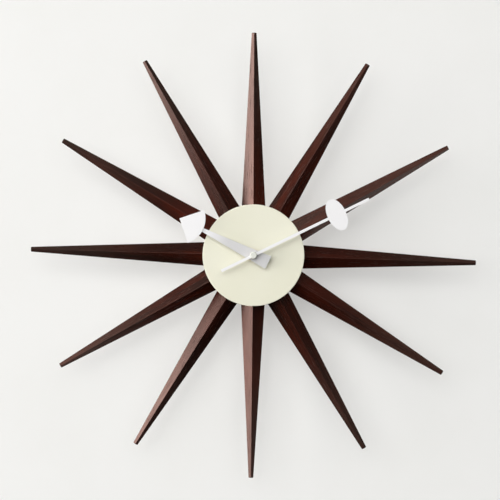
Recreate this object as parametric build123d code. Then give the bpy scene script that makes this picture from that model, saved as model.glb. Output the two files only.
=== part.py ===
from build123d import *
import math
import os

# Sunburst wall clock with twelve wooden rays. Millimetres, +Z up, dial facing -Y.
# The origin is on the hand axis, in the plane of the wall.
# Pieces are modelled lying on their backs: x to three o'clock, y to twelve o'clock and
# z out from the wall. save() then hangs each one on the wall.

# whole clock
overall_span = 470.0  # across opposite ray tips
ray_count = 12
dial_diameter = 106.3
dial_thickness = 2.0
dial_edge_round = 0.5
dial_overhang = 1.5  # past the side of the drum

# drum: a spun cup, open to the wall
drum_wall = 1.5
drum_front = 49.5  # outer face of its front plate, from the wall
drum_round = 2.5
drum_flange_width = 8.0  # rim turned in at the back
wall_pad_thickness = 1.0
wall_pad_inset = 0.4

# rays: rhombic in section, square at the tip
ray_gap_at_dial = 2.3  # between neighbours at true pitch
ray_depth_at_dial = 20.0
ray_tip_width = 5.2
ray_tip_depth = 4.6
ray_setback = 19.5  # from the front of the drum back to the middle of the section
ray_edge_round = 0.5
ray_root_overrun = 8.0  # length made inside the drum and cut off by it
# how far each hand-fitted ray strays from true pitch and from upright, from twelve o'clock on
ray_strays = [-0.85, -0.1, 0.0, 0.9, 0.9, -0.9, -0.4, 1.0, -0.8, 0.5, 0.0, -0.3]
ray_rolls = [0, 0, 15, 0, 0, 0, 0, 0, -7, 0, 0, 0]

# two screws hold each ray from inside the drum
ray_screw_diameter = 3.5
ray_screw_length = 20.0
ray_screw_head_diameter = 7.0
ray_screw_head_height = 2.2
ray_screw_spacing = 10.0
ray_screw_slot_width = 1.0
screw_pilot_gap = 0.05
screw_wall_gap = 0.2
screw_bottom_gap = 1.0

# hanger strap across the back, with a keyhole for the wall screw
hanger_height = 34.0  # middle of the strap, above the hand axis
hanger_width = 20.0
hanger_thickness = 1.5
hanger_end_gap = 0.5  # to the wall of the drum
keyhole_height = 30.5
keyhole_diameter = 9.0
keyhole_slot_width = 4.5
keyhole_slot_rise = 8.0
rivet_diameter = 3.0
rivet_head_diameter = 5.5
rivet_head_height = 1.2
rivet_tail_height = 0.8
rivet_gap = 0.05

# movement case, square, behind the front plate of the drum; an AA cell sets its size
case_depth = 16.0
case_wall = 1.4
case_plate = 1.5
case_corner = 4.0
cover_plate = 1.4
gasket_thickness = 1.0
gasket_width = 6.0
gasket_hole_gap = 0.2
bushing_diameter = 8.0
bushing_bore = 5.2
bushing_end_height = 0.6  # past the nut
dial_hole_gap = 0.15
washer_width = 2.0
washer_thickness = 0.5
dial_nut_wall = 1.5
dial_nut_height = 2.2
dial_nut_gap = 0.05

# posts that carry the train plate and the cover
post_diameter = 5.0
post_neck_diameter = 3.6
post_inset = 5.2  # from the outside of the case
post_hole_gap = 0.1
post_foot_height = 5.0
train_plate_thickness = 0.8
train_plate_gap = 0.4
pinion_hole_gap = 0.2
cover_screw_diameter = 1.5
cover_screw_length = 5.0
cover_screw_head_diameter = 3.2
cover_screw_head_height = 1.1
cover_screw_slot_width = 0.6

# battery bay along the bottom of the case, for an AA cell
cell_diameter = 14.2
cell_length = 50.0
cell_cap_diameter = 5.5
cell_cap_height = 1.2
cell_sleeve = 0.15
cell_bay_gap = 0.6
cell_floor_gap = 0.3
cell_contact_gap = 0.3
spring_room = 2.5  # for the folded leaf behind the can
contact_thickness = 0.4
contact_width = 9.0
contact_rise = 8.0
divider_wall = 1.2

# wheel train: teeth, and the distances of the arbors from each other
rotor_teeth = 8
step_wheel_teeth = 60
step_pinion_teeth = 8
seconds_wheel_teeth = 32
seconds_pinion_teeth = 8
third_wheel_teeth = 60
third_pinion_teeth = 8
centre_wheel_teeth = 64
cannon_teeth = 12
minute_wheel_teeth = 36
minute_pinion_teeth = 10
hour_wheel_teeth = 40
setting_teeth = 12
third_distance = 8.16
minute_distance = 8.4
step_distance = 7.2
rotor_distance = 6.46
third_bearing = 180.0  # directions in degrees, anticlockwise from three o'clock
minute_bearing = 0.0
setting_bearing = -20.0
step_bearing = 60.0

# heights in the movement, all measured back from the front face of the case
hour_wheel_depth = 2.4
minute_wheel_depth = 3.6
centre_wheel_depth = 5.0
third_wheel_depth = 8.0
stator_depth = 8.8
seconds_wheel_depth = 10.2
step_wheel_depth = 11.8
wheel_thickness = 0.7
pinion_overlap = 0.2  # a pinion is this much longer than its wheel at each end
stator_thickness = 0.8
arbor_diameter = 1.1
pivot_diameter = 0.7
pivot_gap = 0.05
pivot_depth = 0.9
pivot_end_gap = 0.1
shoulder_gap = 0.2

# hand arbors, one inside the other
seconds_arbor_diameter = 1.0
cannon_bore = 1.2
cannon_diameter = 2.8
hour_pipe_bore = 3.0
hour_pipe_diameter = 5.0
hour_pipe_setback = 0.2  # below the front of the hour hand
cannon_tail_diameter = 2.4
clutch_gap = 0.05
clutch_diameter = 5.0
clutch_thickness = 0.2
seconds_arbor_reach = 9.0  # length inside the cannon arbor

# stepping motor
rotor_diameter = 6.0
rotor_thickness = 2.0
stator_bar_width = 8.4
stator_bar_length = 28.0
stator_hole_gap = 0.5
stator_leg_width = 4.5
coil_height = 20.6  # above the hand axis
coil_depth = 10.8
coil_core_width = 2.6
coil_core_thickness = 1.2
coil_core_length = 26.0
bobbin_length = 18.0
bobbin_flange = 6.6
bobbin_flange_thickness = 1.0
bobbin_wall = 0.5
bobbin_gap = 0.05
winding_diameter = 6.0

# circuit board on the train plate
board_width = 14.6
board_height = 13.2
board_side_gap = 1.2  # to the wall of the case
board_bottom = 3.4  # above the hand axis
board_depth = 11.0  # its rear face
board_thickness = 0.8
board_post_diameter = 2.4
board_pin_diameter = 1.2
crystal_diameter = 2.0
crystal_length = 6.0
chip_diameter = 5.0
chip_height = 1.2

# setting knob
knob_diameter = 13.0
knob_thickness = 4.0
knob_ridges = 30
knob_ridge_depth = 0.4
knob_stem_diameter = 2.2
knob_stem_gap = 0.1
knob_clearance = 1.6  # past the back of the cover, over the heads of its screws

# hands, both cut from flat sheet
hand_thickness = 1.0
hour_hand_bearing = -64.5  # clockwise from twelve o'clock, as the minute hand's is
hour_hand_tail = 17.2
hour_hand_tail_width = 14.4
hour_hand_neck = 59.0
hour_hand_neck_width = 4.1
hour_hand_lap = 12.0  # length of the arm behind the fan
hour_fan_radius = 27.1
hour_fan_angle = 90.0
hour_hand_clearance = 1.2  # under the hour hand, past the bushing
hour_collet_diameter = 8.6
hour_collet_neck = 6.6
hour_collet_flange = 0.7
press_gap = 0.03
minute_hand_bearing = 63.0
minute_hand_reach = 133.9
minute_hand_tail = 37.1
minute_hand_width = 2.9
minute_hub_diameter = 6.6
minute_oval_distance = 96.4
minute_oval_across = 34.8
minute_oval_along = 19.5
minute_hand_clearance = 1.3  # over the fan of the hour hand
minute_bush_diameter = 6.0
minute_seat_diameter = 2.2
cap_nut_diameter = 7.6
cap_nut_height = 2.8
cap_nut_flats = 7.0
cap_nut_skirt = 1.4

# heights from the wall that follow from the sizes above
drum_radius = dial_diameter / 2 - dial_overhang
drum_inner_radius = drum_radius - drum_wall
drum_rear = wall_pad_thickness
ray_mid_height = drum_front - ray_setback
ray_width_at_dial = dial_diameter * math.sin(math.pi / ray_count) - ray_gap_at_dial
case_front = drum_front - drum_wall - gasket_thickness
dial_back = drum_front
dial_front = dial_back + dial_thickness
nut_seat = dial_front + washer_thickness
bushing_top = nut_seat + dial_nut_height + bushing_end_height
hour_hand_back = bushing_top + hour_hand_clearance
hour_fan_back = hour_hand_back + hand_thickness
hour_pipe_top = hour_hand_back + hand_thickness - hour_pipe_setback
minute_hand_back = hour_fan_back + hand_thickness + minute_hand_clearance
minute_hand_front = minute_hand_back + hand_thickness
cover_inside = case_depth - cover_plate
train_plate_rear = case_plate + post_foot_height + train_plate_thickness

# sizes of the case and of what lies in it
case_size = cell_length + 2 * case_wall + contact_thickness + cell_contact_gap + spring_room
board_right = case_size / 2 - case_wall - board_side_gap
board_left = board_right - board_width
board_top = board_bottom + board_height

# places on the plan of the movement
third_place = (
    third_distance * math.cos(math.radians(third_bearing)),
    third_distance * math.sin(math.radians(third_bearing)),
)
minute_place = (
    minute_distance * math.cos(math.radians(minute_bearing)),
    minute_distance * math.sin(math.radians(minute_bearing)),
)
step_place = (
    step_distance * math.cos(math.radians(step_bearing)),
    step_distance * math.sin(math.radians(step_bearing)),
)
# the rotor stands over the hand axis, one mesh from the step wheel
rotor_place = (0.0, step_place[1] + math.sqrt(rotor_distance**2 - step_place[0] ** 2))
# the setting pinion has the module of the cannon pinion
setting_share = (minute_wheel_teeth + setting_teeth) / (cannon_teeth + minute_wheel_teeth)
setting_distance = minute_distance * setting_share
setting_place = (
    minute_place[0] + setting_distance * math.cos(math.radians(setting_bearing)),
    minute_place[1] + setting_distance * math.sin(math.radians(setting_bearing)),
)
post_offset = case_size / 2 - post_inset
bay_width = cell_diameter + 2 * cell_bay_gap
bay_bottom = -case_size / 2 + case_wall
bay_top = bay_bottom + bay_width
divider_top = bay_top + divider_wall
post_low = divider_top + post_neck_diameter / 2 + 0.9
post_places = [
    (-post_offset, post_offset),
    (post_offset, post_offset),
    (-post_offset, post_low),
    (post_offset, post_low),
]
cell_middle = (bay_bottom + bay_top) / 2
cell_depth = case_plate + cell_floor_gap + cell_diameter / 2

on_base = (Align.CENTER, Align.CENTER, Align.MIN)
pieces = {}


def save(name, shape):
    # hangs the piece on the wall: what lay face up now faces -Y
    pieces[name] = Rot(90, 0, 0) * shape


def group(shapes):
    # loose copies of one fastener, kept as separate solids
    return Compound([solid for shape in shapes for solid in shape.solids()])


def disc(radius, bottom, top, x=0.0, y=0.0):
    return Pos(x, y, bottom) * Cylinder(radius, top - bottom, align=on_base)


def ring(outer, inner, bottom, top, x=0.0, y=0.0):
    return disc(outer, bottom, top, x, y) - disc(inner, bottom - 1, top + 1, x, y)


def slab(width, height, bottom, top, x=0.0, y=0.0):
    return Pos(x, y, bottom) * Box(width, height, top - bottom, align=on_base)


def clockwise(shape, degrees):
    # turns a piece made at twelve o'clock to its place on the dial
    return Rot(0, 0, -degrees) * shape


def sunk(depth):
    # height from the wall of a level in the movement
    return case_front - depth


def on_arbor(place, radius, front, rear):
    # a round piece in the movement between two depths
    return disc(radius, sunk(rear), sunk(front), place[0], place[1])


def towards(start, end):
    return math.degrees(math.atan2(end[1] - start[1], end[0] - start[0]))


def gear(teeth, module, place, front, rear, phase):
    # phase is the direction of the middle of one tooth
    pitch = 360 / teeth
    small = teeth < 20
    tip = module * (teeth / 2 + (0.75 if small else 0.85))
    root = module * (teeth / 2 - 1.25)
    half_root = pitch * (0.20 if small else 0.25)
    half_pitch = pitch * 0.19
    half_tip = pitch * 0.08
    outline = []
    for tooth in range(teeth):
        middle = phase + tooth * pitch
        steps = (
            (-half_root, root),
            (-half_pitch, module * teeth / 2),
            (-half_tip, tip),
            (half_tip, tip),
            (half_pitch, module * teeth / 2),
            (half_root, root),
        )
        for turn, radius in steps:
            angle = math.radians(middle + turn)
            outline.append((radius * math.cos(angle), radius * math.sin(angle)))
    face = make_face(Polyline(*outline, close=True))
    return Pos(place[0], place[1], sunk(rear)) * extrude(face, rear - front)


def meshed(driver_teeth, driver_phase, driver_place, teeth, place):
    # phase of a gear whose gap takes the driver's tooth on the line of centres
    line = towards(driver_place, place)
    driver_pitch = 360 / driver_teeth
    part_way = ((line - driver_phase) / driver_pitch) % 1
    return line + 180 + (part_way - 0.5) * 360 / teeth


def arbor(place, front, rear):
    # a plain arbor with a pivot at each end; front and rear are the faces of the plates it turns in
    body = on_arbor(place, arbor_diameter / 2, front + shoulder_gap, rear - shoulder_gap)
    reach = pivot_depth - pivot_end_gap
    return body + on_arbor(place, pivot_diameter / 2, front - reach, rear + reach)


def pivot_hole(place, face, side):
    # blind when side is -1 or 1, and it opens towards the wheels
    if side < 0:
        return on_arbor(place, pivot_diameter / 2 + pivot_gap, face - pivot_depth, face + 0.01)
    return on_arbor(place, pivot_diameter / 2 + pivot_gap, face - 0.01, face + pivot_depth)


# ---------- rays and their screws ----------


def ray_section(radius):
    # half width and half depth of the rhombus at a distance from the hand axis
    share = (radius - dial_diameter / 2) / (overall_span / 2 - dial_diameter / 2)
    half_width = ray_width_at_dial / 2 + share * (ray_tip_width - ray_width_at_dial) / 2
    half_depth = ray_depth_at_dial / 2 + share * (ray_tip_depth - ray_depth_at_dial) / 2
    return half_width, half_depth


def ray_blank():
    faces = []
    for radius in (drum_radius - ray_root_overrun, overall_span / 2):
        half_width, half_depth = ray_section(radius)
        plane = Plane(origin=(0, radius, ray_mid_height), x_dir=(1, 0, 0), z_dir=(0, 1, 0))
        corners = [(half_width, 0), (0, half_depth), (-half_width, 0), (0, -half_depth)]
        faces.append(plane * make_face(Polyline(*corners, close=True)))
    blank = loft(faces)
    long_edges = [e for e in blank.edges() if e.length > overall_span / 4]
    tip = blank.faces().sort_by(Axis.Y)[-1]
    return fillet(long_edges + tip.edges(), ray_edge_round)


def ray_screw_heights():
    return (ray_mid_height - ray_screw_spacing / 2, ray_mid_height + ray_screw_spacing / 2)


def along_ray(radius, start, end, height):
    # a cylinder along a ray that points to twelve o'clock
    body = Cylinder(radius, end - start, align=on_base)
    return Pos(0, start, height) * Rot(-90, 0, 0) * body


# a flat screw head touches the hollow wall of the drum at its edges
screw_seat = math.sqrt(drum_inner_radius**2 - (ray_screw_head_diameter / 2) ** 2)
screw_end = screw_seat + ray_screw_length


def make_rays():
    blank = ray_blank()
    drum_space = disc(drum_radius, 0, drum_front)
    for number in range(ray_count):
        angle = number * 360 / ray_count + ray_strays[number]
        roll = Rot(0, ray_rolls[number], 0)
        turned = Pos(0, 0, ray_mid_height) * roll * Pos(0, 0, -ray_mid_height) * blank
        ray = turned - drum_space
        for height in ray_screw_heights():
            pilot = ray_screw_diameter / 2 + screw_pilot_gap
            ray -= along_ray(pilot, screw_seat, screw_end + screw_bottom_gap, height)
        save(f"ray_{number + 1:02d}", clockwise(ray, angle))


def make_ray_screws():
    screws = []
    for number in range(ray_count):
        angle = number * 360 / ray_count + ray_strays[number]
        for height in ray_screw_heights():
            head_start = screw_seat - ray_screw_head_height
            head = along_ray(ray_screw_head_diameter / 2, head_start, screw_seat, height)
            rim = head.edges().sort_by(Axis.Y)[0]
            head = fillet(rim, ray_screw_head_height / 3)
            slot_size = (ray_screw_head_diameter + 1, ray_screw_head_height, ray_screw_slot_width)
            slot = Pos(0, head_start, height) * Box(*slot_size)
            shank = along_ray(ray_screw_diameter / 2, screw_seat, screw_end, height)
            shank = chamfer(shank.edges().sort_by(Axis.Y)[-1], ray_screw_diameter / 3)
            screws.append(clockwise(head - slot + shank, angle))
    save("ray_screws", group(screws))


# ---------- drum, dial and hanger ----------


def rivet_places():
    # on the turned-in rim, level with the middle of the hanger strap
    radius = drum_inner_radius - drum_flange_width / 2
    side = math.sqrt(radius**2 - hanger_height**2)
    return ((-side, hanger_height), (side, hanger_height))


def make_drum():
    shell = disc(drum_radius, drum_rear, drum_front)
    shell = fillet(shell.edges().filter_by(GeomType.CIRCLE), drum_round)
    hollow = disc(drum_inner_radius, drum_rear + drum_wall, drum_front - drum_wall)
    hollow = fillet(hollow.edges().filter_by(GeomType.CIRCLE), drum_round - drum_wall)
    drum = shell - hollow
    drum -= disc(drum_inner_radius - drum_flange_width, drum_rear - 1, drum_rear + drum_wall + 1)
    drum -= disc(bushing_diameter / 2 + dial_hole_gap, drum_front - drum_wall - 1, drum_front + 1)
    for number in range(ray_count):
        angle = number * 360 / ray_count + ray_strays[number]
        for height in ray_screw_heights():
            radius = ray_screw_diameter / 2 + screw_wall_gap
            hole = along_ray(radius, drum_inner_radius - 3, drum_radius + 3, height)
            drum -= clockwise(hole, angle)
    for x, y in rivet_places():
        drum -= disc(rivet_diameter / 2 + rivet_gap, drum_rear - 1, drum_rear + drum_wall + 1, x, y)
    save("hub_drum", drum)


def make_wall_pad():
    pad = ring(
        drum_radius - drum_round - wall_pad_inset,
        drum_inner_radius - drum_flange_width + wall_pad_inset,
        0,
        wall_pad_thickness,
    )
    for x, y in rivet_places():
        pad -= disc(rivet_head_diameter / 2 + rivet_gap * 4, -1, wall_pad_thickness + 1, x, y)
    save("wall_pad", pad)


def make_dial():
    dial = disc(dial_diameter / 2, dial_back, dial_front)
    dial = fillet(dial.edges().filter_by(GeomType.CIRCLE), dial_edge_round)
    save("dial_disc", dial - disc(bushing_diameter / 2 + dial_hole_gap, dial_back - 1, dial_front + 1))


def make_hanger():
    bottom = drum_rear + drum_wall
    top = bottom + hanger_thickness
    blank = slab(2 * drum_radius, hanger_width, bottom, top, 0, hanger_height)
    strap = blank & disc(drum_inner_radius - hanger_end_gap - (drum_round - drum_wall), bottom, top)
    strap -= disc(keyhole_diameter / 2, bottom - 1, top + 1, 0, keyhole_height)
    slot_end = keyhole_height + keyhole_slot_rise
    strap -= slab(
        keyhole_slot_width, keyhole_slot_rise, bottom - 1, top + 1, 0, (keyhole_height + slot_end) / 2
    )
    strap -= disc(keyhole_slot_width / 2, bottom - 1, top + 1, 0, slot_end)
    for x, y in rivet_places():
        strap -= disc(rivet_diameter / 2 + rivet_gap, bottom - 1, top + 1, x, y)
    save("hanger_strap", strap)

    rivets = []
    for x, y in rivet_places():
        shank = disc(rivet_diameter / 2, drum_rear, top, x, y)
        head = disc(rivet_head_diameter / 2, top, top + rivet_head_height, x, y)
        head = fillet(head.edges().sort_by(Axis.Z)[-1], rivet_head_height * 0.8)
        tail = disc(rivet_head_diameter / 2, drum_rear - rivet_tail_height, drum_rear, x, y)
        tail = fillet(tail.edges().sort_by(Axis.Z)[0], rivet_tail_height * 0.6)
        rivets.append(shank + head + tail)
    save("hanger_rivets", group(rivets))


# ---------- what holds the movement to the drum ----------


def make_fixings():
    inner = bushing_diameter / 2 + gasket_hole_gap
    gasket = ring(bushing_diameter / 2 + gasket_width, inner, case_front, drum_front - drum_wall)
    save("rubber_gasket", gasket)
    inner = bushing_diameter / 2 + dial_hole_gap
    save("dial_washer", ring(bushing_diameter / 2 + washer_width, inner, dial_front, nut_seat))
    half_flats = bushing_diameter / 2 + dial_nut_wall
    nut = Pos(0, 0, nut_seat) * extrude(RegularPolygon(half_flats, 6, major_radius=False), dial_nut_height)
    # a cone takes the corners off its front
    nut &= Pos(0, 0, nut_seat) * Cone(half_flats * 1.3, half_flats * 0.98, dial_nut_height, align=on_base)
    bore = bushing_diameter / 2 + dial_nut_gap
    save("dial_nut", nut - disc(bore, nut_seat - 1, nut_seat + dial_nut_height + 1))


# ---------- movement case ----------


def case_block(front, rear, bottom, top, inset, corner):
    # a block with rounded corners between two depths, inset from the outside of the case
    width = case_size - 2 * inset
    height = top - bottom
    sketch = Pos(0, (top + bottom) / 2) * RectangleRounded(width, height, corner)
    return Pos(0, 0, sunk(rear)) * extrude(sketch, rear - front)


def make_front_case():
    half = case_size / 2
    case = case_block(0, cover_inside, -half, half, 0, case_corner)
    inner_corner = case_corner - case_wall
    open_rear = cover_inside + 1
    case -= case_block(case_plate, open_rear, divider_top, half - case_wall, case_wall, inner_corner * 0.5)
    case -= case_block(case_plate, open_rear, bay_bottom, bay_top, case_wall, inner_corner * 0.5)
    case += on_arbor((0, 0), bushing_diameter / 2, case_front - bushing_top, case_plate)
    case -= on_arbor((0, 0), bushing_bore / 2, case_front - bushing_top - 1, case_plate + 1)
    for place in post_places:
        foot = case_plate + post_foot_height
        case += on_arbor(place, post_diameter / 2, case_plate, foot)
        case += on_arbor(place, post_neck_diameter / 2, foot, cover_inside)
        pilot = cover_screw_diameter / 2 + screw_pilot_gap
        case -= on_arbor(place, pilot, cover_inside - cover_screw_length, open_rear)
    for place in (third_place, minute_place, setting_place):
        case -= pivot_hole(place, case_plate, -1)
    save("movement_front_case", case)


def make_train_plate():
    foot = case_plate + post_foot_height
    half = case_size / 2
    inset = case_wall + train_plate_gap
    plate = case_block(foot, train_plate_rear, divider_top + train_plate_gap, half - inset, inset, 1.0)
    for place in post_places:
        plate -= on_arbor(place, post_neck_diameter / 2 + post_hole_gap, foot - 1, train_plate_rear + 1)
    # the seconds arbor runs through, and two pinions pass through when the wheels are put in
    plate -= on_arbor((0, 0), seconds_arbor_diameter / 2 + 0.1, foot - 1, train_plate_rear + 1)
    third_module = gear_module(third_distance, third_pinion_teeth, centre_wheel_teeth)
    setting_module = gear_module(minute_distance, cannon_teeth, minute_wheel_teeth)
    passing = [
        (third_place, third_module, third_pinion_teeth),
        (setting_place, setting_module, setting_teeth),
    ]
    for place, module, teeth in passing:
        plate -= on_arbor(place, module * (teeth / 2 + 1) + pinion_hole_gap, foot - 1, train_plate_rear + 1)
    for place in (minute_place, step_place, rotor_place):
        plate -= on_arbor(place, pivot_diameter / 2 + pivot_gap, foot - 1, train_plate_rear + 1)
    for place in board_post_places():
        board_front = board_depth - board_thickness
        plate += on_arbor(place, board_post_diameter / 2, train_plate_rear, board_front)
        plate += on_arbor(place, board_pin_diameter / 2, board_front, board_depth + 0.3)
    save("train_plate", plate)


def make_cover():
    half = case_size / 2
    cover = case_block(cover_inside, case_depth, bay_top, half, 0, case_corner * 0.5)
    for place in (third_place, (0, 0), step_place, rotor_place):
        cover -= pivot_hole(place, cover_inside, 1)
    stem_hole = knob_stem_diameter / 2 + knob_stem_gap
    cover -= on_arbor(setting_place, stem_hole, cover_inside - 1, case_depth + 1)
    for place in post_places:
        hole = cover_screw_diameter / 2 + screw_wall_gap
        cover -= on_arbor(place, hole, cover_inside - 1, case_depth + 1)
    save("movement_cover", cover)

    screws = []
    for x, y in post_places:
        rear = case_depth + cover_screw_head_height
        shank = on_arbor((x, y), cover_screw_diameter / 2, case_depth - cover_screw_length, case_depth)
        head = on_arbor((x, y), cover_screw_head_diameter / 2, case_depth, rear)
        head = fillet(head.edges().sort_by(Axis.Z)[0], cover_screw_head_height / 3)
        slot = slab(
            cover_screw_head_diameter + 1,
            cover_screw_slot_width,
            sunk(rear) - 1,
            sunk(rear) + cover_screw_head_height / 2,
            x,
            y,
        )
        screws.append(shank + head - slot)
    save("cover_screws", group(screws))


# ---------- wheel train ----------


def gear_module(distance, driver_teeth, teeth):
    return 2 * distance / (driver_teeth + teeth)


def make_going_train():
    # rotor pinion, step wheel, seconds wheel, third wheel and centre wheel
    centre = (0.0, 0.0)
    rotor_module = gear_module(rotor_distance, rotor_teeth, step_wheel_teeth)
    step_module = gear_module(step_distance, step_pinion_teeth, seconds_wheel_teeth)
    seconds_module = gear_module(third_distance, seconds_pinion_teeth, third_wheel_teeth)
    third_module = gear_module(third_distance, third_pinion_teeth, centre_wheel_teeth)

    rear = step_wheel_depth + wheel_thickness
    phase = towards(rotor_place, step_place)
    front = step_wheel_depth - pinion_overlap
    pinion = gear(rotor_teeth, rotor_module, rotor_place, front, rear + pinion_overlap, phase)
    save("rotor_pinion", pinion + arbor(rotor_place, train_plate_rear, cover_inside))
    magnet_front = train_plate_rear + 0.6
    magnet = on_arbor(rotor_place, rotor_diameter / 2, magnet_front, magnet_front + rotor_thickness)
    bore = arbor_diameter / 2 + press_gap
    magnet -= on_arbor(rotor_place, bore, magnet_front - 1, magnet_front + rotor_thickness + 1)
    save("rotor_magnet", magnet)

    wheel_phase = meshed(rotor_teeth, phase, rotor_place, step_wheel_teeth, step_place)
    wheel = gear(step_wheel_teeth, rotor_module, step_place, step_wheel_depth, rear, wheel_phase)
    phase = towards(step_place, centre)
    front = seconds_wheel_depth - pinion_overlap
    rear = seconds_wheel_depth + wheel_thickness + pinion_overlap
    pinion = gear(step_pinion_teeth, step_module, step_place, front, rear, phase)
    save("step_wheel", wheel + pinion + arbor(step_place, train_plate_rear, cover_inside))

    wheel_phase = meshed(step_pinion_teeth, phase, step_place, seconds_wheel_teeth, centre)
    rear = seconds_wheel_depth + wheel_thickness
    wheel = gear(seconds_wheel_teeth, step_module, centre, seconds_wheel_depth, rear, wheel_phase)
    phase = towards(centre, third_place)
    front = third_wheel_depth - pinion_overlap
    rear = third_wheel_depth + wheel_thickness + pinion_overlap
    pinion = gear(seconds_pinion_teeth, seconds_module, centre, front, rear, phase)
    inner_end = cannon_depth_rear() - seconds_arbor_reach
    stem = on_arbor(centre, seconds_arbor_diameter / 2, inner_end, cover_inside - shoulder_gap)
    pivot_end = cover_inside + pivot_depth - pivot_end_gap
    stem += on_arbor(centre, pivot_diameter / 2, cover_inside - 1, pivot_end)
    save("seconds_wheel", wheel + pinion + stem)

    wheel_phase = meshed(seconds_pinion_teeth, phase, centre, third_wheel_teeth, third_place)
    rear = third_wheel_depth + wheel_thickness
    wheel = gear(third_wheel_teeth, seconds_module, third_place, third_wheel_depth, rear, wheel_phase)
    phase = towards(third_place, centre)
    front = centre_wheel_depth - pinion_overlap
    rear = centre_wheel_depth + wheel_thickness + pinion_overlap
    pinion = gear(third_pinion_teeth, third_module, third_place, front, rear, phase)
    save("third_wheel", wheel + pinion + arbor(third_place, case_plate, cover_inside))

    wheel_phase = meshed(third_pinion_teeth, phase, third_place, centre_wheel_teeth, centre)
    rear = centre_wheel_depth + wheel_thickness
    wheel = gear(centre_wheel_teeth, third_module, centre, centre_wheel_depth, rear, wheel_phase)
    bore = cannon_tail_diameter / 2 + clutch_gap
    save("centre_wheel", wheel - on_arbor(centre, bore, centre_wheel_depth - 1, rear + 1))


def cannon_depth_rear():
    # end of the tail behind the centre wheel, just clear of the train plate
    return case_plate + post_foot_height - shoulder_gap


def make_motion_work():
    # cannon arbor, minute wheel, hour wheel and setting stem turn the hands twelve to one
    centre = (0.0, 0.0)
    cannon_module = gear_module(minute_distance, cannon_teeth, minute_wheel_teeth)
    minute_module = gear_module(minute_distance, minute_pinion_teeth, hour_wheel_teeth)

    phase = towards(centre, minute_place)
    front = minute_wheel_depth - 0.1
    rear = minute_wheel_depth + wheel_thickness + pinion_overlap
    cannon = gear(cannon_teeth, cannon_module, centre, front, rear, phase)
    seat_start = case_front - minute_hand_back
    cannon += on_arbor(centre, cannon_diameter / 2, seat_start, rear)
    stud_end = case_front - (minute_hand_front + cap_nut_height - 0.8)
    cannon += on_arbor(centre, minute_seat_diameter / 2, stud_end, seat_start)
    cannon += on_arbor(centre, cannon_tail_diameter / 2, rear, cannon_depth_rear())
    bore_end = cannon_depth_rear() - seconds_arbor_reach - 1
    save("cannon_arbor", cannon - on_arbor(centre, cannon_bore / 2, bore_end, cannon_depth_rear() + 1))

    spring_front = centre_wheel_depth + wheel_thickness + 0.05
    spring = on_arbor(centre, clutch_diameter / 2, spring_front, spring_front + clutch_thickness)
    bore = cannon_tail_diameter / 2 + press_gap
    save("clutch_spring", spring - on_arbor(centre, bore, spring_front - 1, spring_front + 1))

    wheel_phase = meshed(cannon_teeth, phase, centre, minute_wheel_teeth, minute_place)
    rear = minute_wheel_depth + wheel_thickness
    wheel = gear(minute_wheel_teeth, cannon_module, minute_place, minute_wheel_depth, rear, wheel_phase)
    phase = towards(minute_place, centre)
    front = hour_wheel_depth - pinion_overlap
    pinion = gear(minute_pinion_teeth, minute_module, minute_place, front, minute_wheel_depth, phase)
    foot = case_plate + post_foot_height
    save("minute_wheel", wheel + pinion + arbor(minute_place, case_plate, foot))

    setting_phase = meshed(minute_wheel_teeth, wheel_phase, minute_place, setting_teeth, setting_place)
    front = minute_wheel_depth - pinion_overlap
    rear = minute_wheel_depth + wheel_thickness + pinion_overlap
    pinion = gear(setting_teeth, cannon_module, setting_place, front, rear, setting_phase)
    knob_front = case_depth + knob_clearance
    knob_rear = knob_front + knob_thickness
    stem = on_arbor(setting_place, knob_stem_diameter / 2, case_plate + shoulder_gap, knob_front)
    pivot_start = case_plate - pivot_depth + pivot_end_gap
    stem += on_arbor(setting_place, pivot_diameter / 2, pivot_start, case_plate + 1)
    save("setting_stem", pinion + stem)
    knob = on_arbor(setting_place, knob_diameter / 2, knob_front, knob_rear)
    knob = fillet(knob.edges().filter_by(GeomType.CIRCLE), 0.5)
    for ridge in range(knob_ridges):
        angle = math.radians(ridge * 360 / knob_ridges)
        x = setting_place[0] + (knob_diameter / 2 + 0.2) * math.cos(angle)
        y = setting_place[1] + (knob_diameter / 2 + 0.2) * math.sin(angle)
        knob -= on_arbor((x, y), knob_ridge_depth + 0.2, knob_front - 1, knob_rear + 1)
    save("setting_knob", knob)

    wheel_phase = meshed(minute_pinion_teeth, phase, minute_place, hour_wheel_teeth, centre)
    rear = hour_wheel_depth + wheel_thickness
    wheel = gear(hour_wheel_teeth, minute_module, centre, hour_wheel_depth, rear, wheel_phase)
    wheel += on_arbor(centre, hour_pipe_diameter / 2, case_front - hour_pipe_top, hour_wheel_depth)
    bore_front = case_front - hour_pipe_top - 1
    save("hour_wheel", wheel - on_arbor(centre, hour_pipe_bore / 2, bore_front, rear + 1))


# ---------- stepping motor and circuit ----------


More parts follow.
